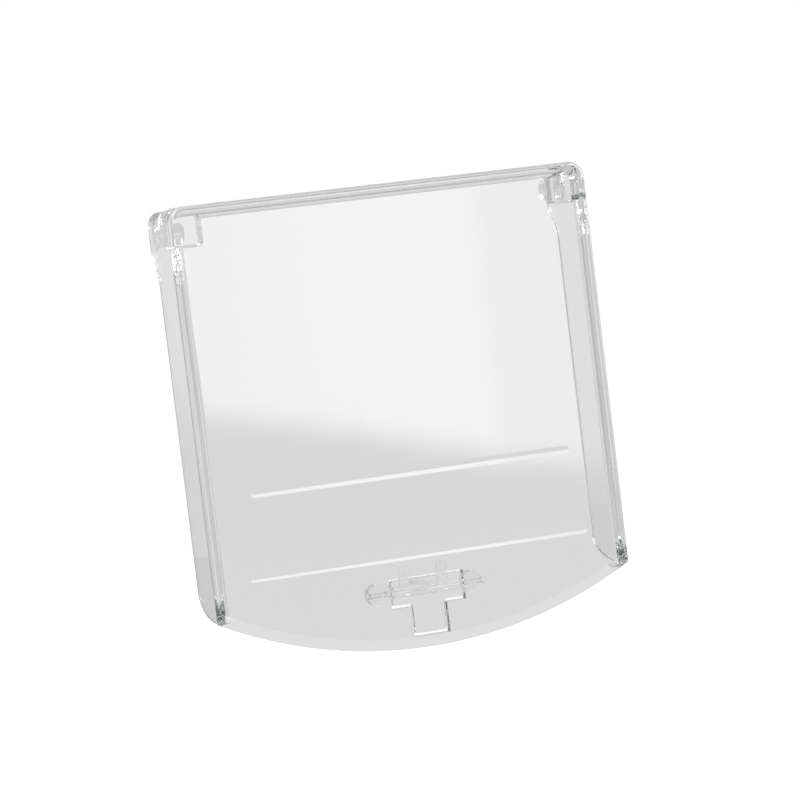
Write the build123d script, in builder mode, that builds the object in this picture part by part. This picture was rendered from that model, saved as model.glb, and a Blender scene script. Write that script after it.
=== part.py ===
from build123d import *
import os

# Clear hinged cover that closes over a wall push button, in millimetres.
# +Z is up and the front panel faces -Y. The origin lies on the hinge axis, midway between the two hinge pins.

# Cover moulding
cover_width = 98.0
panel_height = 93.5  # from the top face down to the corners where the curved lip starts
lip_drop = 12.3  # how far the curved lip hangs below those corners
wall = 2.2
side_depth = 19.5
top_depth = 13.0  # stops in front of the hinge axis, so that the cover can swing up
corner_radius = 3.6  # top corners, seen from the front
front_radius = 1.2  # rounded edge all round the front panel
inner_radius = 1.0  # where the panel meets the side walls and the top wall inside
least_radius = 0.4  # smallest rounding of the moulding
cut_overrun = 1.0  # how far a cut runs past the face that it opens
pick_margin = 0.01  # how near an edge lies to the plane that it is picked by

# Ears of the side walls, which carry the hinge pins
ear_depth = 25.0
ear_round_run = 16.0
ear_round_drop = 7.4
ear_blend_height = 11.0  # the ear narrows to the side wall over this height
foot_round_run = 14.5  # lower back corner of each side wall
foot_round_height = 5.6

# Lip
bevel_width = 2.6
bevel_depth = 1.1

# Blocks behind the panel's top corners, which stop against the front of the wall box
block_width = 5.2
block_height = 6.8  # below the inner face of the top wall
block_depth = 6.2
block_edge = 0.5

# Shallow stiffening ribs on the back of the panel, lens-shaped in section
rib_height = 2.0
rib_rise = 0.17
upper_rib_length = 76.0
upper_rib_above_corner = 27.9
lower_rib_length = 81.0
lower_rib_above_corner = 9.0

# Hinge
hinge_setback = 17.0  # front face of the panel to the hinge axis
hinge_drop = 5.8  # top face to the hinge axis
journal_radius = 2.7
pin_tip_radius = 2.4
pin_tip_length = 3.0  # bare length that goes into the wall box
pin_lead = 0.5  # chamfer at the free end
head_radius = 3.2
head_thickness = 0.9

# Catch
bar_width = 16.8
bar_height = 5.8
bar_above_corner = 3.9  # top of the bar above the corners where the lip starts
stem_width = 7.7
stem_length = 6.9
tee_corner = 0.6
plate_thickness = 2.0
plate_edge = 0.3
hub_radius = 1.3
hub_length = 15.2
catch_pin_radius = 0.6
catch_pin_setback = 2.9  # front face of the panel to the pin's axis
catch_pin_recess = 0.5  # the pin stops this far inside the outer side of each post
post_radius = 2.4
post_spacing = 22.6
post_height = 3.4
hook_reach = 9.0
hook_width = 2.4
hook_thickness = 1.4
tooth_length = 2.0
tooth_drop = 0.9
leaf_spacing = 9.0
leaf_width = 2.4
leaf_thickness = 0.5
leaf_rise = 5.5
leaf_gap = 0.9  # room in front of the leaf's tip when the tab is pressed

# Moulding marks
gate_radius = 0.9
gate_height = 0.2
gate_setback = 10.0

# Clearances
running_gap = 0.05  # radial, between a pin and what turns on it
seat_gap = 0.01  # radial, where a pin is held fast
head_gap = 0.15
tee_gap = 0.35  # between the catch and its window
tee_low_gap = 0.6  # more below it, because the catch dips as it rocks

# Places worked out from the sizes
half_width = cover_width / 2
inner_half = half_width - wall
top_z = hinge_drop
inner_top_z = top_z - wall
corner_z = top_z - panel_height
lip_z = corner_z - lip_drop
front_y = -hinge_setback
panel_back_y = front_y + wall
side_y = front_y + side_depth
ear_y = front_y + ear_depth
inner_corner_radius = max(corner_radius - wall, least_radius)
lip_radius = (half_width**2 + lip_drop**2) / (2 * lip_drop)
bar_top_z = corner_z + bar_above_corner
catch_pin_z = bar_top_z - bar_height / 2
catch_pin_y = front_y + catch_pin_setback

front_plane = Plane.XZ.offset(hinge_setback)
panel_back_plane = front_plane.offset(-wall)


def tee_outline(side_gap, low_gap):
    """Adds the catch's T shape to the open sketch, grown by a gap at its sides and one below."""
    bar_low = bar_top_z - bar_height
    for width, top, low in (
        (bar_width, bar_top_z, bar_low),
        (stem_width, bar_low, bar_low - stem_length),
    ):
        high_edge = top + side_gap
        low_edge = low - low_gap
        with Locations((0, (high_edge + low_edge) / 2)):
            Rectangle(width + 2 * side_gap, high_edge - low_edge)


# Cover moulding: the block inside its outer faces
with BuildPart() as cover_shell:
    with BuildSketch(front_plane) as front_outline:
        with BuildLine():
            Polyline(
                (-half_width, corner_z),
                (-half_width, top_z),
                (half_width, top_z),
                (half_width, corner_z),
            )
            ThreePointArc((half_width, corner_z), (0, lip_z), (-half_width, corner_z))
        make_face()
        fillet(front_outline.vertices().group_by(Axis.Y)[-1], corner_radius)
    extrude(amount=-ear_depth)

    # Side view: rounded ear at the top, narrower wall below it, and only the panel below the corners
    with BuildSketch(Plane.YZ.offset(-half_width)):
        with BuildLine():
            ear_low_z = top_z - ear_round_drop
            wall_top_z = ear_low_z - ear_blend_height
            foot_z = corner_z + foot_round_height
            ear_start_y = ear_y - ear_round_run
            foot_end_y = side_y - foot_round_run
            Line((front_y, top_z), (ear_start_y, top_z))
            EllipticalCenterArc(
                (ear_start_y, ear_low_z), ear_round_run, ear_round_drop, arc_size=90
            )
            Bezier(
                (ear_y, ear_low_z),
                (ear_y, ear_low_z - ear_blend_height / 2),
                (side_y, wall_top_z + ear_blend_height / 2),
                (side_y, wall_top_z),
            )
            Line((side_y, wall_top_z), (side_y, foot_z))
            EllipticalCenterArc(
                (foot_end_y, foot_z),
                foot_round_run,
                foot_round_height,
                start_angle=270,
                arc_size=90,
            )
            Polyline(
                (foot_end_y, corner_z),
                (panel_back_y, corner_z),
                (panel_back_y, lip_z - cut_overrun),
                (front_y, lip_z - cut_overrun),
                (front_y, top_z),
            )
        make_face()
    extrude(amount=cover_width, mode=Mode.INTERSECT)

    # Rounded front edge at the top and the sides
    front_face = cover_shell.faces().filter_by(Axis.Y).sort_by(Axis.Y)[0]
    round_edges = front_face.outer_wire().edges().sort_by(Axis.Z)[1:]
    fillet(round_edges, front_radius)

    # Bevel along the curved lip, turned about the centre of its arc
    with BuildSketch(Plane.YZ):
        with BuildLine():
            Polyline(
                (front_y - bevel_depth, lip_z + 2 * bevel_width),
                (front_y + 2 * bevel_depth, lip_z - bevel_width),
                (front_y - bevel_depth, lip_z - bevel_width),
                close=True,
            )
        make_face()
    lip_axis = Axis((0, 0, lip_z + lip_radius), (0, 1, 0))
    revolve(axis=lip_axis, mode=Mode.SUBTRACT)

    # Hollow, open at the back and at the bottom
    with BuildSketch(panel_back_plane) as hollow:
        hollow_low = lip_z - cut_overrun
        with Locations((0, (inner_top_z + hollow_low) / 2)):
            Rectangle(2 * inner_half, inner_top_z - hollow_low)
        fillet(hollow.vertices().group_by(Axis.Y)[-1], inner_corner_radius)
    extrude(amount=-ear_depth, mode=Mode.SUBTRACT)

    # The top wall ends in front of the hinge axis, with a round nose
    with BuildSketch(Plane.YZ.offset(-inner_half)):
        with BuildLine():
            nose_radius = wall / 2
            nose_y = front_y + top_depth
            nose_start_y = nose_y - nose_radius
            notch_low_z = inner_top_z - inner_corner_radius
            notch_high_z = top_z + cut_overrun
            notch_back_y = ear_y + cut_overrun
            ThreePointArc(
                (nose_start_y, inner_top_z), (nose_y, top_z - nose_radius), (nose_start_y, top_z)
            )
            Polyline(
                (nose_start_y, top_z),
                (nose_start_y, notch_high_z),
                (notch_back_y, notch_high_z),
                (notch_back_y, notch_low_z),
                (nose_start_y, notch_low_z),
                (nose_start_y, inner_top_z),
            )
        make_face()
    extrude(amount=2 * inner_half, mode=Mode.SUBTRACT)

    # Rounded inside edge where the panel meets the side walls and the top wall
    inside_edges = (
        cover_shell.edges()
        .filter_by_position(Axis.Y, panel_back_y - pick_margin, panel_back_y + pick_margin)
        .filter_by(lambda edge: edge.center().Z > corner_z)
    )
    fillet(inside_edges, inner_radius)

    # Blocks in both top corners, level with the hinge axis, with rounded free edges
    with BuildSketch(panel_back_plane):
        block_x = inner_half - block_width / 2
        block_z = inner_top_z - block_height / 2
        with Locations((-block_x, block_z), (block_x, block_z)):
            Rectangle(block_width, block_height)
    extrude(amount=-block_depth)
    block_edges = cover_shell.edges(Select.LAST).filter_by(GeomType.LINE)
    free_edges = block_edges.filter_by(
        lambda edge: abs(edge.center().X) < inner_half - pick_margin
        and edge.center().Z < inner_top_z - pick_margin
        and edge.center().Y > panel_back_y + pick_margin
    )
    fillet(free_edges, block_edge)

    # Stiffening ribs: a straight stretch with a domed end at each side
    for length, above_corner in (
        (upper_rib_length, upper_rib_above_corner),
        (lower_rib_length, lower_rib_above_corner),
    ):
        rib_z = corner_z + above_corner
        rib_crest = (panel_back_y + rib_rise, rib_z)
        rib_top = (panel_back_y, rib_z + rib_height / 2)
        rib_low = (panel_back_y, rib_z - rib_height / 2)
        straight_half = (length - rib_height) / 2
        with BuildSketch(Plane.YZ.offset(-straight_half)):
            with BuildLine():
                ThreePointArc(rib_low, rib_crest, rib_top)
                Line(rib_top, rib_low)
            make_face()
        extrude(amount=2 * straight_half)
        for end_x in (-straight_half, straight_half):
            with BuildSketch(Plane.YZ.offset(end_x)):
                with BuildLine():
                    whole_arc = ThreePointArc(rib_low, rib_crest, rib_top, mode=Mode.PRIVATE)
                    ThreePointArc(rib_crest, whole_arc @ 0.75, rib_top)
                    Polyline(rib_top, (panel_back_y, rib_z), rib_crest)
                make_face()
            revolve(axis=Axis((end_x, 0, rib_z), (0, 1, 0)))

    # Posts that hold the catch's pin, and the window that the catch rocks in
    with BuildSketch(panel_back_plane):
        with Locations((0, catch_pin_z)):
            with GridLocations(post_spacing, 0, 2, 1):
                Circle(post_radius)
    extrude(amount=-post_height)
    with BuildSketch(front_plane):
        tee_outline(tee_gap, tee_low_gap)
    extrude(amount=-wall, mode=Mode.SUBTRACT)
    with BuildSketch(Plane.YZ.offset(-(post_spacing / 2 + post_radius))):
        with Locations((catch_pin_y, catch_pin_z)):
            Circle(catch_pin_radius + seat_gap)
    extrude(amount=post_spacing + 2 * post_radius, mode=Mode.SUBTRACT)

    # Bearing holes of the hinge, sunk outside for the pins' heads
    with BuildSketch(Plane.YZ.offset(-half_width)):
        Circle(journal_radius + running_gap)
    extrude(amount=cover_width, mode=Mode.SUBTRACT)
    for side in (-1, 1):
        with BuildSketch(Plane.YZ.offset(side * half_width)):
            Circle(head_radius + head_gap)
        extrude(amount=-side * (head_thickness + head_gap), mode=Mode.SUBTRACT)

    # Witness mark of the moulding gate on the top wall
    with BuildSketch(Plane.XY.offset(inner_top_z)):
        with Locations((0, front_y + gate_setback)):
            Circle(gate_radius)
    extrude(amount=wall + gate_height)


# Hinge pins: a flat head outside, a journal in the ear and a bare tip that goes into the wall box
def hinge_pin(side):
    """One pin on the hinge axis; side is -1 for the left pin and 1 for the right one."""
    with BuildPart() as pin:
        steps = (
            (head_radius, half_width, half_width - head_thickness),
            (journal_radius, half_width - head_thickness, inner_half),
            (pin_tip_radius, inner_half, inner_half - pin_tip_length - pin_lead),
        )
        for radius, outer_x, inner_x in steps:
            with BuildSketch(Plane.YZ.offset(side * outer_x)):
                Circle(radius)
            extrude(amount=side * (inner_x - outer_x))
        tip_face = pin.faces().filter_by(Axis.X).sort_by(Axis.X)[0 if side > 0 else -1]
        chamfer(tip_face.edges(), pin_lead)
    return pin.part


hinge_pin_left = hinge_pin(-1)
hinge_pin_right = hinge_pin(1)

# Catch: a T-shaped plate in the window, on a hub that turns on the catch's pin
with BuildPart() as catch:
    with BuildSketch(front_plane):
        tee_outline(0, 0)
    extrude(amount=-plate_thickness)
    tee_edges = catch.edges().filter_by(Axis.Y)
    fillet(tee_edges, tee_corner)
    front_edges = catch.faces().filter_by(Axis.Y).sort_by(Axis.Y)[0].edges()
    fillet(front_edges, plate_edge)

    with BuildSketch(Plane.YZ.offset(-hub_length / 2)):
        with Locations((catch_pin_y, catch_pin_z)):
            Circle(hub_radius)
    extrude(amount=hub_length)

    # Hook that goes back to the ledge of the wall box
    with BuildSketch(Plane.YZ.offset(-hook_width / 2)):
        with BuildLine():
            hook_top = catch_pin_z + hub_radius
            hook_low = hook_top - hook_thickness
            nose_y = catch_pin_y + hook_reach
            tooth_y = nose_y - tooth_length
            Polyline(
                (catch_pin_y, hook_top),
                (nose_y, hook_top),
                (nose_y, hook_low),
                (tooth_y, hook_low - tooth_drop),
                (tooth_y, hook_low),
                (catch_pin_y, hook_low),
                close=True,
            )
        make_face()
    extrude(amount=hook_width)

    # Two thin leaves that press on the back of the panel and bring the tab back
    leaf_tip_y = panel_back_y + leaf_gap
    for side in (-1, 1):
        with BuildSketch(Plane.YZ.offset((side * leaf_spacing - leaf_width) / 2)):
            with BuildLine():
                leaf_foot_y = catch_pin_y + hub_radius / 2
                Polyline(
                    (leaf_foot_y, catch_pin_z),
                    (leaf_tip_y, catch_pin_z + leaf_rise),
                    (leaf_tip_y + leaf_thickness, catch_pin_z + leaf_rise),
                    (leaf_foot_y + leaf_thickness, catch_pin_z),
                    close=True,
                )
            make_face()
        extrude(amount=leaf_width)

    with BuildSketch(Plane.YZ.offset(-hub_length / 2)):
        with Locations((catch_pin_y, catch_pin_z)):
            Circle(catch_pin_radius + running_gap)
    extrude(amount=hub_length, mode=Mode.SUBTRACT)

# Pin through both posts and the hub of the catch
with BuildPart() as catch_pin:
    pin_half = post_spacing / 2 + post_radius - catch_pin_recess
    with BuildSketch(Plane.YZ.offset(-pin_half)):
        with Locations((catch_pin_y, catch_pin_z)):
            Circle(catch_pin_radius)
    extrude(amount=2 * pin_half)

os.makedirs("parts", exist_ok=True)
for name, piece in (
    ("cover_shell", cover_shell.part),
    ("hinge_pin_left", hinge_pin_left),
    ("hinge_pin_right", hinge_pin_right),
    ("catch", catch.part),
    ("catch_pin", catch_pin.part),
):
    piece.label = name
    export_step(piece, f"parts/{name}.step")
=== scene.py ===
import math

import bmesh
import bpy
from bpy.props import FloatProperty, FloatVectorProperty, IntProperty, PointerProperty
from mathutils import Matrix, Vector


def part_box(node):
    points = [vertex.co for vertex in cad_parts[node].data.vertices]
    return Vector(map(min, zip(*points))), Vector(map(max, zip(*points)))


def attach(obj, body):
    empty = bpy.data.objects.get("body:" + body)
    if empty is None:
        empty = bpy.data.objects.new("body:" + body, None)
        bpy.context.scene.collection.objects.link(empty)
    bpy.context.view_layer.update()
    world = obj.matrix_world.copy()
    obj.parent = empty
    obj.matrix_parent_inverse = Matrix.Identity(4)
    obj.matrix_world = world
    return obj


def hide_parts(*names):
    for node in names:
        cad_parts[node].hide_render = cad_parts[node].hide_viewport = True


bl_info = {
    "name": "Clear push-button cover",
    "version": (1, 0, 0),
    "blender": (4, 5, 0),
    "location": "3D View > Sidebar > Cover",
    "description": "Dresses the clear hinged cover, its pins and its catch, and sets up the studio",
    "category": "Object",
}

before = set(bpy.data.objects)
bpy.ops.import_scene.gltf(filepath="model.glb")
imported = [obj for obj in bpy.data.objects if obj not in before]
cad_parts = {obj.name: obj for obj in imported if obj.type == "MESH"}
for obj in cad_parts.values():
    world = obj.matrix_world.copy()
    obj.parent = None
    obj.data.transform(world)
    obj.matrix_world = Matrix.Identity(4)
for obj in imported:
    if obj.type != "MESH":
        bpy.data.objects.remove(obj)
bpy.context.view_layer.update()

MM = 0.001

SHELL_LOW, SHELL_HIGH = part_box("cover_shell")
PIN_LOW, PIN_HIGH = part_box("hinge_pin_left")
SPINDLE_LOW, SPINDLE_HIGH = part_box("catch_pin")
SPINDLE_CENTRE = (SPINDLE_LOW + SPINDLE_HIGH) / 2
BORE = SPINDLE_CENTRE / MM  # axis of the catch, in millimetres

# Places on the moulding, in millimetres
HALF_WIDTH = SHELL_HIGH.x / MM
FRONT = SHELL_LOW.y / MM
WALL = 2.2
PANEL_BACK = FRONT + WALL
INNER_HALF = HALF_WIDTH - WALL
INNER_RADIUS = 1.0  # hollow rounding between the panel and the walls
FOOT = -87.7  # bottom of the side walls
FOOT_BACK = FRONT + 5.0  # the side walls reach back this far at the bottom
EAR_SIDE = HALF_WIDTH - 0.8  # an ear's edge off the faces of its wall counts outside this
EAR_FRONT = 2.0  # and where it reaches further back than this
LIP_TOP = FOOT - 0.5  # the back edge of the lip counts where it reaches below this
LIP_BEVEL = FRONT + 1.1  # where the bevel of the lip ends, behind the front face
BEVEL_WIDTH = 2.6
LIP_DROP = FOOT - SHELL_LOW.z / MM
LIP_RADIUS = (HALF_WIDTH**2 + LIP_DROP**2) / (2 * LIP_DROP)
LIP_CENTRE = SHELL_LOW.z / MM + LIP_RADIUS  # height of the centre of the lip's arc
HINGE_ROOM = 4.0  # radius that holds the pin's hole and the sink of its head
BLOCK_SIDE = 41.6  # free side of the blocks in the top corners
BLOCK_LOW = -3.2  # and their lower side
TEE_HALF = 9.5  # the T window lies within this on both sides
TEE_TOP = -82.0  # and between these two heights
TEE_BOTTOM = -98.0
BORE_ROOM = 0.8  # radius that holds the bore of the catch

# How edges are picked, in millimetres and degrees
TOUCH = 0.02  # how near to a plane a point has to be to lie on it
MARGIN = 0.1  # how far a test reaches past the place that it looks for
SQUARE = (60, 120)  # a square edge turns by an angle between these two

# Cleaning and shading of meshes
MERGE_DISTANCE = 0.002 * MM
FLAT_ANGLE = math.radians(0.4)  # faces that turn by less than this become one
MOULDED_CREASE = math.radians(32)
TURNED_CREASE = math.radians(40)

# Lengths of a hinge pin from its head inwards, and its radii, in metres
PIN_HEAD = 0.9 * MM
PIN_JOURNAL = 1.3 * MM
PIN_LEAD = 0.5 * MM
PIN_TIP = PIN_HIGH.x - PIN_LOW.x - PIN_HEAD - PIN_JOURNAL - PIN_LEAD
PIN_JOURNAL_RADIUS = 2.7 * MM
PIN_TIP_RADIUS = 2.4 * MM

# Chamfer and rounding at the ends of the catch's pin
SPINDLE_LEAD = 0.15 * MM
SPINDLE_ROUNDING = 0.1 * MM

# Camera: the point that it looks at, in metres, and the shift of its picture
LOOK_AT = Vector((0, -0.010, -0.047))
PICTURE_SHIFT = (0.0018, 0.0187)
PICTURE_WIDTH = 800  # pixels across the picture that the camera is matched to

# Soft boxes: name, place and side in metres, power in watts
SOFT_BOXES = (
    ("soft_box_left", (-0.7, -0.5, 0.9), 0.8, 9.0),
    ("soft_box_right", (0.8, -0.2, 0.7), 0.6, 4.0),
)
SOFT_BOX_AIM = Vector((0, 0, -0.05))

# Floor
FLOOR_RADIUS = 2.2  # metres
FLOOR_GLOW = 0.62  # lifts the floor to white for the eye
PAPER_TONES = ((0.78, 0.78, 0.775), (0.8, 0.8, 0.8))

WHITE = (1.0, 1.0, 1.0)
SHADOW_TINT = (0.86, 0.87, 0.87)  # share of a lamp's light that each face of the plastic lets through
ROOM_TONE = 0.55  # light that the room throws on the floor

# Tones of the room, as the polished faces mirror them
MIRRORED_FRONT = 0.3
MIRRORED_BACK = 0.62
MIRRORED_FLOOR = 0.45
MIRRORED_CEILING = 0.9
MIRRORED_TURN = (-0.3, 0.3)  # the front tone turns into the back one between these values of Y
CEILING_EDGE = (0.45, 0.75)  # and the ceiling comes in between these values of Z

# Tones of the room, as they show through the plastic
AHEAD_TONE = 0.975
WINDOW_TONE = 0.95
GAP_TONE = 0.65
HIGH_TONE = 0.77

# Angles in that room, in degrees. The compass starts straight behind the cover and turns to the right.
WINDOW_STEP = 45.0
WINDOW_MIDDLE = 6.0
WINDOW_EDGE = (12.5, 16.5)  # from the middle of a window
AHEAD_MIDDLE = 8.5
AHEAD_EDGE = (13.0, 17.0)
LEFT_OF_STRIP = (10.0, 15.0, 0.955, 1.0)  # two compass angles, and the share of the tone at each
RIGHT_OF_STRIP = (16.8, 17.6, 1.0, 0.935)
HIGH_EDGE = (3.0, 6.0)  # heights between which the even tone above the windows comes in
TABLE_EDGE = (-4.55, -3.7)  # heights of the table's soft edge
TABLE_WAVE = 2.5  # how far the table's edge rises and falls
TABLE_WAVE_LENGTH = 60.0
TABLE_WAVE_START = 15.2


# Settings


class CoverSizes(bpy.types.PropertyGroup):
    """Roundings that finish the moulded pieces"""

    rim_rounding: FloatProperty(
        name="Rim rounding",
        description="Radius along the back rims of the side walls, round their feet and along the lip",
        default=0.4 * MM,
        unit="LENGTH",
        precision=5,
    )
    foot_rounding: FloatProperty(
        name="Foot rounding",
        description="Hollow radius where the corner blocks meet the back of the panel",
        default=0.3 * MM,
        unit="LENGTH",
        precision=5,
    )
    tee_rounding: FloatProperty(
        name="T window rounding",
        description="Radius along the front edges of the T window",
        default=0.12 * MM,
        unit="LENGTH",
        precision=5,
    )
    lip_rounding: FloatProperty(
        name="Lip rounding",
        description="Radius where the bevel of the curved lip meets its lower face",
        default=0.3 * MM,
        unit="LENGTH",
        precision=5,
    )
    catch_rounding: FloatProperty(
        name="Catch rounding",
        description="Radius along the edges of the hook, the tab and the leaves",
        default=0.1 * MM,
        unit="LENGTH",
        precision=5,
    )
    pin_rounding: FloatProperty(
        name="Pin rounding",
        description="Radius at the shoulders of the turned pins",
        default=0.18 * MM,
        unit="LENGTH",
        precision=5,
    )
    pin_segments: IntProperty(
        name="Pin segments",
        description="Facets round each turned pin",
        default=96,
        min=12,
    )


class CoverFinish(bpy.types.PropertyGroup):
    """Colour and gloss of the clear plastic"""

    tint: FloatVectorProperty(
        name="Tint",
        description="Colour that the clear plastic gives to light that passes it",
        default=(0.99, 0.992, 0.991),
        subtype="COLOR",
        size=3,
        min=0,
        max=1,
    )
    deep_tint: FloatVectorProperty(
        name="Deep tint",
        description="Colour that a long way through the plastic tends to",
        default=(0.5, 0.525, 0.515),
        subtype="COLOR",
        size=3,
        min=0,
        max=1,
    )
    depth_density: FloatProperty(
        name="Depth density",
        description="How fast the deep tint sets in, per metre",
        default=18.0,
        min=0,
    )
    fitting_density: FloatProperty(
        name="Fitting density",
        description="The same for the catch and the pins, which are small and look clearer",
        default=10.0,
        min=0,
    )
    refraction: FloatProperty(
        name="Index of refraction",
        description="Index of refraction of polycarbonate",
        default=1.585,
        min=1,
    )


class CoverStage(bpy.types.PropertyGroup):
    """Camera, floor and studio light"""

    azimuth: FloatProperty(
        name="Azimuth",
        description="Direction that the camera stands in, measured round the cover from its front",
        default=math.radians(-15.2),
        subtype="ANGLE",
    )
    elevation: FloatProperty(
        name="Elevation",
        description="Height of the camera above the cover's middle, as an angle",
        default=math.radians(3.6),
        subtype="ANGLE",
    )
    roll: FloatProperty(
        name="Roll",
        description="Turn of the camera about its own line of sight",
        default=math.radians(6.84),
        subtype="ANGLE",
    )
    distance: FloatProperty(
        name="Distance",
        description="Camera to the cover's middle",
        default=0.668,
        unit="LENGTH",
    )
    focal_pixels: FloatProperty(
        name="Focal length in pixels",
        description="Focal length, in pixels of a picture 800 pixels wide",
        default=2921.0,
    )
    floor_drop: FloatProperty(
        name="Floor drop",
        description="Hinge axis to the floor",
        default=0.3,
        unit="LENGTH",
    )
    table_tone: FloatVectorProperty(
        name="Table tone",
        description="Tone of the table as it shows through the clear plastic",
        default=(0.719, 0.726, 0.722),
        subtype="COLOR",
        size=3,
        min=0,
        max=1,
    )


# Node helpers


def add_node(tree, kind, **settings):
    """Adds a node and sets its attributes; inputs are set by the caller."""
    node = tree.nodes.new(kind)
    for name, value in settings.items():
        setattr(node, name, value)
    return node


def feed(tree, socket, value):
    """Links an input to a socket, or sets it to a plain value."""
    if isinstance(value, bpy.types.NodeSocket):
        tree.links.new(value, socket)
    else:
        socket.default_value = value


def math_node(tree, operation, first, second=None):
    """Adds a Math node; each input is a socket or a number. Returns its output socket."""
    node = add_node(tree, "ShaderNodeMath", operation=operation)
    feed(tree, node.inputs[0], first)
    if second is not None:
        feed(tree, node.inputs[1], second)
    return node.outputs[0]


def smooth_step(tree, value, low, high, start=0.0, end=1.0):
    """Adds a smooth Map Range from start to end as value goes from low to high."""
    node = add_node(tree, "ShaderNodeMapRange", interpolation_type="SMOOTHSTEP")
    tree.links.new(value, node.inputs["Value"])
    for name, number in (
        ("From Min", low),
        ("From Max", high),
        ("To Min", start),
        ("To Max", end),
    ):
        node.inputs[name].default_value = number
    return node.outputs["Result"]


def mix_colour(tree, factor, first, second):
    """Adds a colour Mix node led by a socket; each colour is a socket or an RGB triple."""
    node = add_node(tree, "ShaderNodeMix", data_type="RGBA")
    tree.links.new(factor, node.inputs["Factor"])
    for socket, colour in ((node.inputs[6], first), (node.inputs[7], second)):
        plain = not isinstance(colour, bpy.types.NodeSocket)
        feed(tree, socket, (*colour, 1) if plain else colour)
    return node.outputs[2]


def grey(tone):
    """A grey as an RGB triple."""
    return (tone, tone, tone)


def mix_shader(tree, factor, first, second):
    """Adds a Mix Shader node fed by three sockets. Returns its output socket."""
    node = add_node(tree, "ShaderNodeMixShader")
    for socket, source in zip(node.inputs, (factor, first, second)):
        tree.links.new(source, socket)
    return node.outputs[0]


def glow(tree, colour, strength=1.0):
    """Adds an Emission node. Returns its output socket."""
    node = add_node(tree, "ShaderNodeEmission")
    node.inputs["Color"].default_value = (*colour, 1)
    node.inputs["Strength"].default_value = strength
    return node.outputs[0]


def noise(tree, place, scale, detail=2.0, roughness=0.5, stretch=None):
    """Adds a Noise Texture on object coordinates, stretched along the axes if asked."""
    if stretch is not None:
        mapping = add_node(tree, "ShaderNodeMapping")
        mapping.inputs["Scale"].default_value = stretch
        tree.links.new(place, mapping.inputs["Vector"])
        place = mapping.outputs["Vector"]
    node = add_node(tree, "ShaderNodeTexNoise")
    tree.links.new(place, node.inputs["Vector"])
    node.inputs["Scale"].default_value = scale
    node.inputs["Detail"].default_value = detail
    node.inputs["Roughness"].default_value = roughness
    return node.outputs["Fac"]


# Finishes


def clear_plastic(name, density, polish, haze, scuff_scale, flow_scale, flow_height):
    """Clear moulded plastic: polished, with faint flow marks, fine scuffs and a tint along its depth."""
    finish = bpy.context.scene.cover_finish
    material = bpy.data.materials.new(name)
    material.use_nodes = True
    tree = material.node_tree
    tree.nodes.clear()
    place = add_node(tree, "ShaderNodeTexCoord").outputs["Object"]

    shader = add_node(tree, "ShaderNodeBsdfPrincipled")
    shader.inputs["Base Color"].default_value = (*finish.tint, 1)
    shader.inputs["IOR"].default_value = finish.refraction
    shader.inputs["Transmission Weight"].default_value = 1.0

    # Gloss: a clean polish, with patches that handling has dulled and hair-fine scuffs
    handling = noise(tree, place, scale=38.0, detail=3.0, roughness=0.55)
    handling = smooth_step(tree, handling, low=0.42, high=0.75, end=haze)
    scuffs = noise(tree, place, scuff_scale, roughness=0.6, stretch=(1.0, 1.0, 0.06))
    scuffs = smooth_step(tree, scuffs, low=0.66, high=0.74, end=2.0 * haze)
    gloss = math_node(tree, "ADD", math_node(tree, "ADD", handling, scuffs), polish)
    tree.links.new(gloss, shader.inputs["Roughness"])

    # Surface: slow waves where the plastic flowed into the mould
    flow = noise(tree, place, flow_scale, detail=1.0, roughness=0.4, stretch=(1.0, 1.0, 0.45))
    bump = add_node(tree, "ShaderNodeBump")
    bump.inputs["Strength"].default_value = 1.0
    bump.inputs["Distance"].default_value = flow_height
    tree.links.new(flow, bump.inputs["Height"])
    tree.links.new(bump.outputs["Normal"], shader.inputs["Normal"])

    # Lamps shine through it, so that its shadow stays pale
    through = add_node(tree, "ShaderNodeBsdfTransparent")
    through.inputs["Color"].default_value = (*SHADOW_TINT, 1)
    shadow = add_node(tree, "ShaderNodeLightPath").outputs["Is Shadow Ray"]
    surface = mix_shader(tree, shadow, shader.outputs[0], through.outputs[0])

    depth = add_node(tree, "ShaderNodeVolumeAbsorption")
    depth.inputs["Color"].default_value = (*finish.deep_tint, 1)
    depth.inputs["Density"].default_value = density

    output = add_node(tree, "ShaderNodeOutputMaterial")
    tree.links.new(surface, output.inputs["Surface"])
    tree.links.new(depth.outputs[0], output.inputs["Volume"])
    return material


def shell_finish():
    """The big moulding's finish."""
    return clear_plastic(
        "shell_clear",
        bpy.context.scene.cover_finish.depth_density,
        polish=0.035,
        haze=0.03,
        scuff_scale=900.0,
        flow_scale=45.0,
        flow_height=0.02 * MM,
    )


def catch_finish():
    """The catch's finish, hazier than the moulding's, because a thumb presses it."""
    return clear_plastic(
        "catch_clear",
        bpy.context.scene.cover_finish.fitting_density,
        polish=0.1,
        haze=0.1,
        scuff_scale=1400.0,
        flow_scale=220.0,
        flow_height=0.01 * MM,
    )


def pin_finish():
    """The pins' finish, dulled by running in their holes."""
    return clear_plastic(
        "pin_clear",
        bpy.context.scene.cover_finish.fitting_density,
        polish=0.1,
        haze=0.08,
        scuff_scale=1800.0,
        flow_scale=500.0,
        flow_height=0.008 * MM,
    )


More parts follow.
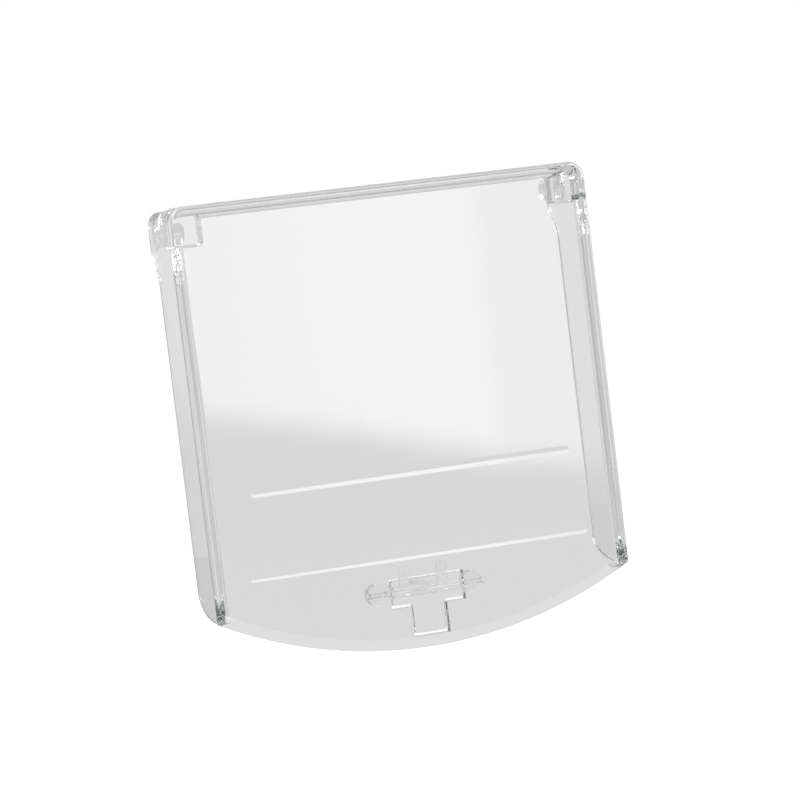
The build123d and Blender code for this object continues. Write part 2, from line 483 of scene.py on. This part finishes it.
def floor_finish(table_tone):
    """Pale floor that keeps the shadow, white to the eye and table-grey through the plastic."""
    material = bpy.data.materials.new("studio_floor")
    material.use_nodes = True
    tree = material.node_tree
    tree.nodes.clear()
    place = add_node(tree, "ShaderNodeTexCoord").outputs["Object"]
    path = add_node(tree, "ShaderNodeLightPath")

    grain = noise(tree, place, scale=6.0, detail=3.0)
    paper = add_node(tree, "ShaderNodeBsdfDiffuse")
    tree.links.new(mix_colour(tree, grain, *PAPER_TONES), paper.inputs["Color"])
    lifted = add_node(tree, "ShaderNodeAddShader")
    tree.links.new(paper.outputs[0], lifted.inputs[0])
    tree.links.new(glow(tree, WHITE, FLOOR_GLOW), lifted.inputs[1])

    # Lifted paper to the camera, one tone as the plastic mirrors it, and the table through the plastic
    seen = mix_shader(tree, path.outputs["Is Camera Ray"], paper.outputs[0], lifted.outputs[0])
    seen = mix_shader(tree, path.outputs["Is Glossy Ray"], seen, glow(tree, grey(MIRRORED_FLOOR)))
    seen = mix_shader(tree, path.outputs["Is Transmission Ray"], seen, glow(tree, table_tone))

    output = add_node(tree, "ShaderNodeOutputMaterial")
    tree.links.new(seen, output.inputs["Surface"])
    return material


# Mesh helpers


def finish_piece(piece, body, material, node):
    """Gives a finished piece its material and its body, and hides the CAD node that it stands for."""
    piece.data.materials.clear()
    piece.data.materials.append(material)
    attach(piece, body)
    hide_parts(node)


def merged_copy(node_name):
    """A bmesh of a CAD node with its loose triangles merged and its flat faces made whole."""
    mesh = bmesh.new()
    mesh.from_mesh(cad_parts[node_name].data)
    bmesh.ops.remove_doubles(mesh, verts=mesh.verts, dist=MERGE_DISTANCE)
    bmesh.ops.dissolve_limit(
        mesh,
        angle_limit=FLAT_ANGLE,
        verts=mesh.verts,
        edges=mesh.edges,
        use_dissolve_boundaries=False,
    )
    return mesh


def edges_where(mesh, test, hollow=False):
    """Square edges whose two ends, in millimetres, pass a test. Hollow ones turn inwards."""
    found = []
    for edge in mesh.edges:
        if len(edge.link_faces) != 2:
            continue
        angle = math.degrees(edge.calc_face_angle_signed(0))
        if hollow:
            angle = -angle
        if SQUARE[0] <= angle <= SQUARE[1] and test(*(end.co / MM for end in edge.verts)):
            found.append(edge)
    return found


def both_at(value, first, second):
    """Whether two numbers both equal a value, within the touch distance."""
    return abs(first - value) < TOUCH and abs(second - value) < TOUCH


def in_hinge(point):
    """Whether a point belongs to the pin's hole or the sink of its head."""
    return math.hypot(point.y, point.z) < HINGE_ROOM


def on_side_rim(a, b):
    """Back edges of the side walls and their ears."""
    widths = abs(a.x), abs(b.x)
    if in_hinge(a) or in_hinge(b) or min(a.y, b.y) < FOOT_BACK - TOUCH:
        return False
    if both_at(HALF_WIDTH, *widths) or both_at(INNER_HALF, *widths):
        return True
    return min(widths) > EAR_SIDE and max(a.y, b.y) > EAR_FRONT


def on_wall_foot(a, b):
    """Edges under the side walls, inside and outside."""
    level = both_at(FOOT, a.z, b.z) and max(a.y, b.y) < FOOT_BACK + TOUCH
    return level and min(abs(a.x), abs(b.x)) > INNER_HALF - INNER_RADIUS - MARGIN


def on_lip_back(a, b):
    """Back edge of the curved lip, clear of the T window."""
    if not both_at(PANEL_BACK, a.y, b.y) or min(a.z, b.z) > LIP_TOP:
        return False
    return max(abs(a.x), abs(b.x)) > TEE_HALF or min(a.z, b.z) < TEE_BOTTOM


def on_back_edge(a, b):
    """The whole back edge of the moulding: rims, feet and lip."""
    return on_side_rim(a, b) or on_wall_foot(a, b) or on_lip_back(a, b)


def on_block_foot(a, b):
    """Where a corner block rises from the back of the panel."""
    if not both_at(PANEL_BACK, a.y, b.y) or min(a.z, b.z) < BLOCK_LOW - MARGIN:
        return False
    return min(abs(a.x), abs(b.x)) > BLOCK_SIDE - MARGIN


def on_tee_front(a, b):
    """Front edges of the T window."""
    if not both_at(FRONT, a.y, b.y) or max(abs(a.x), abs(b.x)) > TEE_HALF:
        return False
    return all(TEE_BOTTOM < end.z < TEE_TOP for end in (a, b))


def on_lip_front(a, b):
    """Where the bevel of the curved lip meets its lower face."""
    return max(a.z, b.z) < FOOT + MARGIN and both_at(LIP_BEVEL, a.y, b.y)


def on_lip_crease(a, b):
    """Where the flat front of the panel turns into the bevel of the curved lip."""
    reaches = (math.hypot(end.x, end.z - LIP_CENTRE) for end in (a, b))
    return both_at(FRONT, a.y, b.y) and both_at(LIP_RADIUS - BEVEL_WIDTH, *reaches)


def on_catch_edge(a, b):
    """Square edges of the catch, apart from the mouths of its bore."""
    return not all(math.hypot(end.y - BORE.y, end.z - BORE.z) < BORE_ROOM for end in (a, b))


# Which edges of the moulding are rounded: test, whether they are hollow, size and segments
SHELL_ROUNDINGS = (
    (on_back_edge, False, "rim_rounding", 3),
    (on_block_foot, True, "foot_rounding", 3),
    (on_tee_front, False, "tee_rounding", 2),
    (on_lip_front, False, "lip_rounding", 3),
)


def round_edges(mesh, edges, radius, segments):
    """Rounds a set of edges."""
    bmesh.ops.bevel(
        mesh,
        geom=edges,
        offset=radius,
        offset_type="OFFSET",
        segments=segments,
        profile=0.5,
        affect="EDGES",
        clamp_overlap=False,
        loop_slide=False,
        material=-1,
    )


def piece_from(mesh, name, crease_angle, on_crease=None):
    """Turns a bmesh into an object with smooth faces, sharp creases and normals led by large faces."""
    for face in mesh.faces:
        face.smooth = True
    for edge in mesh.edges:
        edge.smooth = len(edge.link_faces) == 2 and edge.calc_face_angle(0) < crease_angle
    if on_crease is not None:
        creases = [edge for edge in mesh.edges if on_crease(*(end.co / MM for end in edge.verts))]
        if not creases:
            raise RuntimeError(f"{name} has no edges for {on_crease.__name__}")
        for edge in creases:
            edge.smooth = False
    data = bpy.data.meshes.new(name)
    mesh.to_mesh(data)
    mesh.free()
    piece = bpy.data.objects.new(name, data)
    bpy.context.scene.collection.objects.link(piece)
    weighted = piece.modifiers.new("Flat faces stay flat", "WEIGHTED_NORMAL")
    weighted.mode = "FACE_AREA"
    weighted.weight = 100
    weighted.keep_sharp = True
    return piece


# Turned pins, made by one node tree


def turned_pin_tree():
    """A node tree that turns a stepped outline about the X axis, with rounded shoulders."""
    tree = bpy.data.node_groups.new("Turned pin", "GeometryNodeTree")
    face = tree.interface
    face.new_socket("Geometry", in_out="OUTPUT", socket_type="NodeSocketGeometry")
    for name in (
        "Head Radius",
        "Head Length",
        "Journal Radius",
        "Journal Length",
        "Tip Radius",
        "Tip Length",
        "Lead",
        "Rounding",
        "Start",
        "Direction",
    ):
        face.new_socket(name, in_out="INPUT", socket_type="NodeSocketFloat")
    face.new_socket("Centre", in_out="INPUT", socket_type="NodeSocketVector")
    face.new_socket("Segments", in_out="INPUT", socket_type="NodeSocketInt")
    face.new_socket("Material", in_out="INPUT", socket_type="NodeSocketMaterial")

    inputs = add_node(tree, "NodeGroupInput").outputs
    head_end = inputs["Head Length"]
    journal_end = math_node(tree, "ADD", head_end, inputs["Journal Length"])
    tip_start = math_node(tree, "ADD", journal_end, inputs["Tip Length"])
    tip_end = math_node(tree, "ADD", tip_start, inputs["Lead"])
    nose = math_node(tree, "SUBTRACT", inputs["Tip Radius"], inputs["Lead"])
    outline = (
        (0.0, 0.0),
        (0.0, inputs["Head Radius"]),
        (head_end, inputs["Head Radius"]),
        (head_end, inputs["Journal Radius"]),
        (journal_end, inputs["Journal Radius"]),
        (journal_end, inputs["Tip Radius"]),
        (tip_start, inputs["Tip Radius"]),
        (tip_end, nose),
        (tip_end, 0.0),
    )

    # The outline's corners, one point each: X runs along the pin and Y is the radius
    points = add_node(tree, "GeometryNodePoints")
    points.inputs["Count"].default_value = len(outline)
    corner = add_node(tree, "GeometryNodeIndexSwitch", data_type="VECTOR")
    while len(corner.index_switch_items) < len(outline):
        corner.index_switch_items.new()
    for index, pair in enumerate(outline):
        place = add_node(tree, "ShaderNodeCombineXYZ")
        for socket, value in zip(place.inputs, pair):
            feed(tree, socket, value)
        tree.links.new(place.outputs[0], corner.inputs[index + 1])
    number = add_node(tree, "GeometryNodeInputIndex")
    tree.links.new(number.outputs[0], corner.inputs[0])
    tree.links.new(corner.outputs[0], points.inputs["Position"])
    line = add_node(tree, "GeometryNodePointsToCurves")
    tree.links.new(points.outputs[0], line.inputs["Points"])
    rounded = add_node(tree, "GeometryNodeFilletCurve", mode="POLY")
    rounded.inputs["Count"].default_value = 3
    rounded.inputs["Limit Radius"].default_value = True
    tree.links.new(line.outputs[0], rounded.inputs["Curve"])
    tree.links.new(inputs["Rounding"], rounded.inputs["Radius"])

    # A grid whose every row is the outline, turned one step further round the axis
    edge = add_node(tree, "GeometryNodeCurveToMesh")
    tree.links.new(rounded.outputs[0], edge.inputs["Curve"])
    size = add_node(tree, "GeometryNodeAttributeDomainSize", component="MESH")
    tree.links.new(edge.outputs[0], size.inputs[0])
    count = size.outputs["Point Count"]
    grid = add_node(tree, "GeometryNodeMeshGrid")
    rows = math_node(tree, "ADD", inputs["Segments"], 1.0)
    tree.links.new(rows, grid.inputs["Vertices X"])
    tree.links.new(count, grid.inputs["Vertices Y"])
    vertex = number.outputs[0]
    row = math_node(tree, "FLOOR", math_node(tree, "DIVIDE", vertex, count))
    column = math_node(tree, "SUBTRACT", vertex, math_node(tree, "MULTIPLY", row, count))
    turn = math_node(tree, "DIVIDE", row, inputs["Segments"])
    angle = math_node(tree, "MULTIPLY", turn, 2 * math.pi)
    sample = add_node(tree, "GeometryNodeSampleIndex", data_type="FLOAT_VECTOR")
    where = add_node(tree, "GeometryNodeInputPosition")
    tree.links.new(edge.outputs[0], sample.inputs["Geometry"])
    tree.links.new(where.outputs[0], sample.inputs["Value"])
    tree.links.new(column, sample.inputs["Index"])
    parts = add_node(tree, "ShaderNodeSeparateXYZ")
    tree.links.new(sample.outputs[0], parts.inputs[0])
    along = math_node(tree, "ADD", inputs["Start"], parts.outputs["X"])
    along = math_node(tree, "MULTIPLY", along, inputs["Direction"])
    place = add_node(tree, "ShaderNodeCombineXYZ")
    sideways = math_node(tree, "MULTIPLY", parts.outputs["Y"], math_node(tree, "COSINE", angle))
    upward = math_node(tree, "MULTIPLY", parts.outputs["Y"], math_node(tree, "SINE", angle))
    tree.links.new(along, place.inputs[0])
    tree.links.new(sideways, place.inputs[1])
    tree.links.new(upward, place.inputs[2])
    shift = add_node(tree, "ShaderNodeVectorMath", operation="ADD")
    tree.links.new(place.outputs[0], shift.inputs[0])
    tree.links.new(inputs["Centre"], shift.inputs[1])
    moved = add_node(tree, "GeometryNodeSetPosition")
    tree.links.new(grid.outputs[0], moved.inputs["Geometry"])
    tree.links.new(shift.outputs[0], moved.inputs["Position"])
    closed = add_node(tree, "GeometryNodeMergeByDistance")
    closed.inputs["Distance"].default_value = MERGE_DISTANCE
    tree.links.new(moved.outputs[0], closed.inputs["Geometry"])
    real = add_node(tree, "GeometryNodeRealizeInstances")
    tree.links.new(closed.outputs[0], real.inputs[0])
    coloured = add_node(tree, "GeometryNodeSetMaterial")
    tree.links.new(real.outputs[0], coloured.inputs["Geometry"])
    tree.links.new(inputs["Material"], coloured.inputs["Material"])
    output = add_node(tree, "NodeGroupOutput")
    tree.links.new(coloured.outputs[0], output.inputs[0])
    return tree


def turned_pin(name, tree, values):
    """Runs the node tree with named values and returns its mesh as a plain piece, faces outwards."""
    holder = bpy.data.objects.new(name + "_outline", bpy.data.meshes.new(name + "_outline"))
    bpy.context.scene.collection.objects.link(holder)
    modifier = holder.modifiers.new("Turned pin", "NODES")
    modifier.node_group = tree
    for item in tree.interface.items_tree:
        if item.in_out == "INPUT" and item.name in values:
            modifier[item.identifier] = values[item.name]
    evaluated = holder.evaluated_get(bpy.context.evaluated_depsgraph_get())
    data = bpy.data.meshes.new_from_object(evaluated)
    bpy.data.objects.remove(holder)
    mesh = bmesh.new()
    mesh.from_mesh(data)
    bmesh.ops.dissolve_degenerate(mesh, edges=mesh.edges, dist=MERGE_DISTANCE / 2)
    bmesh.ops.recalc_face_normals(mesh, faces=mesh.faces)
    if mesh.calc_volume(signed=True) < 0:
        bmesh.ops.reverse_faces(mesh, faces=mesh.faces)
    return piece_from(mesh, name, TURNED_CREASE)


# Operators


class COVER_OT_shell(bpy.types.Operator):
    """Dresses the clear moulding: rounded rims, soft feet of the blocks, polished surface"""

    bl_idname = "push_cover.shell"
    bl_label = "Cover moulding"

    def execute(self, context):
        sizes = context.scene.cover_sizes
        mesh = merged_copy("cover_shell")
        for test, hollow, size, segments in SHELL_ROUNDINGS:
            edges = edges_where(mesh, test, hollow)
            if not edges:
                raise RuntimeError(f"The moulding has no edges for {test.__name__}")
            round_edges(mesh, edges, getattr(sizes, size), segments)
        finish_piece(
            piece_from(mesh, "clear_cover", MOULDED_CREASE, on_lip_crease),
            "cover",
            shell_finish(),
            "cover_shell",
        )
        return {"FINISHED"}


class COVER_OT_catch(bpy.types.Operator):
    """Dresses the rocking catch: tab, hook, hub and leaves with soft edges"""

    bl_idname = "push_cover.catch"
    bl_label = "Catch"

    def execute(self, context):
        mesh = merged_copy("catch")
        radius = context.scene.cover_sizes.catch_rounding
        round_edges(mesh, edges_where(mesh, on_catch_edge), radius, segments=2)
        finish_piece(
            piece_from(mesh, "rocking_catch", MOULDED_CREASE),
            "catch",
            catch_finish(),
            "catch",
        )
        return {"FINISHED"}


class COVER_OT_pins(bpy.types.Operator):
    """Makes the two hinge pins and the catch's pin as turned pieces"""

    bl_idname = "push_cover.pins"
    bl_label = "Hinge pins and catch pin"

    def execute(self, context):
        sizes = context.scene.cover_sizes
        tree = turned_pin_tree()
        material = pin_finish()
        shared = {
            "Segments": sizes.pin_segments,
            "Material": material,
        }
        hinge_pin = {
            "Head Radius": (PIN_HIGH.z - PIN_LOW.z) / 2,
            "Head Length": PIN_HEAD,
            "Journal Radius": PIN_JOURNAL_RADIUS,
            "Journal Length": PIN_JOURNAL,
            "Tip Radius": PIN_TIP_RADIUS,
            "Tip Length": PIN_TIP,
            "Lead": PIN_LEAD,
            "Rounding": sizes.pin_rounding,
            "Start": -SHELL_HIGH.x,
            "Centre": (0.0, 0.0, 0.0),
        }
        for name, direction in (("hinge_pin_left", 1.0), ("hinge_pin_right", -1.0)):
            values = {**shared, **hinge_pin, "Direction": direction}
            piece = turned_pin(name + "_turned", tree, values)
            finish_piece(piece, "hinge_pins", material, name)

        # The catch's pin is one plain rod, so its three stretches share one radius
        radius = (SPINDLE_HIGH.z - SPINDLE_LOW.z) / 2
        length = SPINDLE_HIGH.x - SPINDLE_LOW.x
        spindle = {
            "Head Radius": radius,
            "Head Length": length / 3,
            "Journal Radius": radius,
            "Journal Length": length / 3,
            "Tip Radius": radius,
            "Tip Length": length / 3 - SPINDLE_LEAD,
            "Lead": SPINDLE_LEAD,
            "Rounding": SPINDLE_ROUNDING,
            "Start": -length / 2,
            "Direction": 1.0,
            "Centre": (0.0, SPINDLE_CENTRE.y, SPINDLE_CENTRE.z),
        }
        piece = turned_pin("catch_pin_turned", tree, {**shared, **spindle})
        finish_piece(piece, "cover", material, "catch_pin")
        return {"FINISHED"}


class COVER_OT_stage(bpy.types.Operator):
    """Makes the pale floor, the studio's light and the camera"""

    bl_idname = "push_cover.stage"
    bl_label = "Floor, light and camera"

    def execute(self, context):
        stage = context.scene.cover_stage
        make_camera(stage)
        make_floor(stage)
        make_lamps()
        make_world(stage)
        scene = context.scene
        scene.view_settings.view_transform = "Standard"
        # Light runs a long way inside clear walls before it leaves them
        scene.cycles.max_bounces = 32
        scene.cycles.glossy_bounces = 24
        scene.cycles.transmission_bounces = 32
        return {"FINISHED"}


# Stage


def make_camera(stage):
    """The camera at the picture's viewing angle, turned about its line of sight."""
    away = Vector(
        (
            math.sin(stage.azimuth) * math.cos(stage.elevation),
            -math.cos(stage.azimuth) * math.cos(stage.elevation),
            math.sin(stage.elevation),
        )
    )
    right = Vector((0, 0, 1)).cross(away).normalized()
    up = away.cross(right)
    turned_right = math.cos(stage.roll) * right - math.sin(stage.roll) * up
    turned_up = math.sin(stage.roll) * right + math.cos(stage.roll) * up
    data = bpy.data.cameras.new("studio_camera")
    data.sensor_width = 36
    data.lens = data.sensor_width * stage.focal_pixels / PICTURE_WIDTH
    data.shift_x, data.shift_y = PICTURE_SHIFT
    data.clip_start = 0.01
    camera = bpy.data.objects.new("studio_camera", data)
    turn = Matrix((turned_right, turned_up, away)).transposed()
    camera.matrix_world = Matrix.Translation(LOOK_AT + stage.distance * away) @ turn.to_4x4()
    bpy.context.scene.collection.objects.link(camera)
    bpy.context.scene.camera = camera


def make_floor(stage):
    """A round pale floor, well below the cover."""
    mesh = bmesh.new()
    bmesh.ops.create_circle(mesh, cap_ends=True, radius=FLOOR_RADIUS, segments=128)
    bmesh.ops.translate(mesh, verts=mesh.verts, vec=(0, 0, -stage.floor_drop))
    data = bpy.data.meshes.new("studio_floor")
    mesh.to_mesh(data)
    mesh.free()
    floor = bpy.data.objects.new("studio_floor", data)
    data.materials.append(floor_finish(stage.table_tone))
    bpy.context.scene.collection.objects.link(floor)


def make_lamps():
    """Soft boxes: a large one high on the left, a smaller and weaker one high on the right."""
    for name, place, side, power in SOFT_BOXES:
        data = bpy.data.lights.new(name, "AREA")
        data.shape = "SQUARE"
        data.size = side
        data.energy = power
        lamp = bpy.data.objects.new(name, data)
        lamp.location = place
        aim = SOFT_BOX_AIM - Vector(place)
        lamp.rotation_euler = aim.to_track_quat("-Z", "Y").to_euler()
        bpy.context.scene.collection.objects.link(lamp)


def make_world(stage):
    """White to the camera. The plastic shows a white room with gaps between its windows, and a table."""
    world = bpy.data.worlds.new("studio_room")
    bpy.context.scene.world = world
    world.use_nodes = True
    tree = world.node_tree
    tree.nodes.clear()
    direction = add_node(tree, "ShaderNodeTexCoord").outputs["Generated"]
    parts = add_node(tree, "ShaderNodeSeparateXYZ")
    tree.links.new(direction, parts.inputs[0])
    x, y, z = parts.outputs
    compass = math_node(tree, "MULTIPLY", math_node(tree, "ARCTAN2", x, y), 180 / math.pi)
    height = math_node(tree, "MULTIPLY", math_node(tree, "ARCSINE", z), 180 / math.pi)

    # Bright windows with greyer gaps between them, and one a little brighter and wider ahead
    offset = math_node(tree, "SUBTRACT", compass, WINDOW_MIDDLE)
    offset = math_node(tree, "PINGPONG", offset, WINDOW_STEP / 2)
    windows = smooth_step(tree, offset, *WINDOW_EDGE, WINDOW_TONE, GAP_TONE)
    ahead = math_node(tree, "ABSOLUTE", math_node(tree, "SUBTRACT", compass, AHEAD_MIDDLE))
    ahead = smooth_step(tree, ahead, *AHEAD_EDGE, AHEAD_TONE, GAP_TONE)
    panels = math_node(tree, "MAXIMUM", windows, ahead)

    # Only a narrow strip ahead keeps its full tone. The room is a little greyer to its left and right.
    for tones in (LEFT_OF_STRIP, RIGHT_OF_STRIP):
        panels = math_node(tree, "MULTIPLY", panels, smooth_step(tree, compass, *tones))

    # Above the windows the room is one even, greyer tone
    above = smooth_step(tree, height, *HIGH_EDGE)
    panels = mix_colour(tree, above, panels, grey(HIGH_TONE))

    # The table's edge: a soft, slowly waving line just below eye level
    phase = math_node(tree, "SUBTRACT", compass, TABLE_WAVE_START)
    phase = math_node(tree, "MULTIPLY", phase, 2 * math.pi / TABLE_WAVE_LENGTH)
    wave = math_node(tree, "MULTIPLY", math_node(tree, "SINE", phase), TABLE_WAVE)
    table = smooth_step(tree, math_node(tree, "ADD", height, wave), *TABLE_EDGE, 1.0, 0.0)
    behind = mix_colour(tree, table, panels, stage.table_tone)

    # What the polished faces mirror: a dim room, lighter behind the cover, with a bright ceiling
    level = smooth_step(tree, y, *MIRRORED_TURN, MIRRORED_FRONT, MIRRORED_BACK)
    overhead = smooth_step(tree, z, *CEILING_EDGE, 0.0, MIRRORED_CEILING)
    mirrored = math_node(tree, "MAXIMUM", level, overhead)

    # Each kind of ray has its own room
    path = add_node(tree, "ShaderNodeLightPath")
    seen = mix_colour(tree, path.outputs["Is Glossy Ray"], grey(ROOM_TONE), mirrored)
    seen = mix_colour(tree, path.outputs["Is Transmission Ray"], seen, behind)
    seen = mix_colour(tree, path.outputs["Is Camera Ray"], seen, WHITE)
    light = add_node(tree, "ShaderNodeBackground")
    tree.links.new(seen, light.inputs["Color"])
    output = add_node(tree, "ShaderNodeOutputWorld")
    tree.links.new(light.outputs[0], output.inputs["Surface"])


# Panel and registration


class COVER_PT_sidebar(bpy.types.Panel):
    """Lists the cover's pieces and the stage"""

    bl_idname = "COVER_PT_sidebar"
    bl_label = "Clear push-button cover"
    bl_space_type = "VIEW_3D"
    bl_region_type = "UI"
    bl_category = "Cover"

    def draw(self, context):
        layout = self.layout
        for settings in (
            context.scene.cover_sizes,
            context.scene.cover_finish,
            context.scene.cover_stage,
        ):
            box = layout.box()
            for name in settings.bl_rna.properties.keys():
                if name not in ("rna_type", "name"):
                    box.prop(settings, name)
        for operator in OPERATORS:
            layout.operator(operator.bl_idname)


OPERATORS = (COVER_OT_stage, COVER_OT_shell, COVER_OT_catch, COVER_OT_pins)
CLASSES = (CoverSizes, CoverFinish, CoverStage, *OPERATORS, COVER_PT_sidebar)


def register():
    for each in CLASSES:
        bpy.utils.register_class(each)
    bpy.types.Scene.cover_sizes = PointerProperty(type=CoverSizes)
    bpy.types.Scene.cover_finish = PointerProperty(type=CoverFinish)
    bpy.types.Scene.cover_stage = PointerProperty(type=CoverStage)


def unregister():
    del bpy.types.Scene.cover_stage
    del bpy.types.Scene.cover_finish
    del bpy.types.Scene.cover_sizes
    for each in reversed(CLASSES):
        bpy.utils.unregister_class(each)


def main():
    """Registers the classes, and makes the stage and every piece."""
    register()
    bpy.ops.push_cover.stage()
    bpy.ops.push_cover.shell()
    bpy.ops.push_cover.catch()
    bpy.ops.push_cover.pins()


if __name__ == "__main__":
    main()
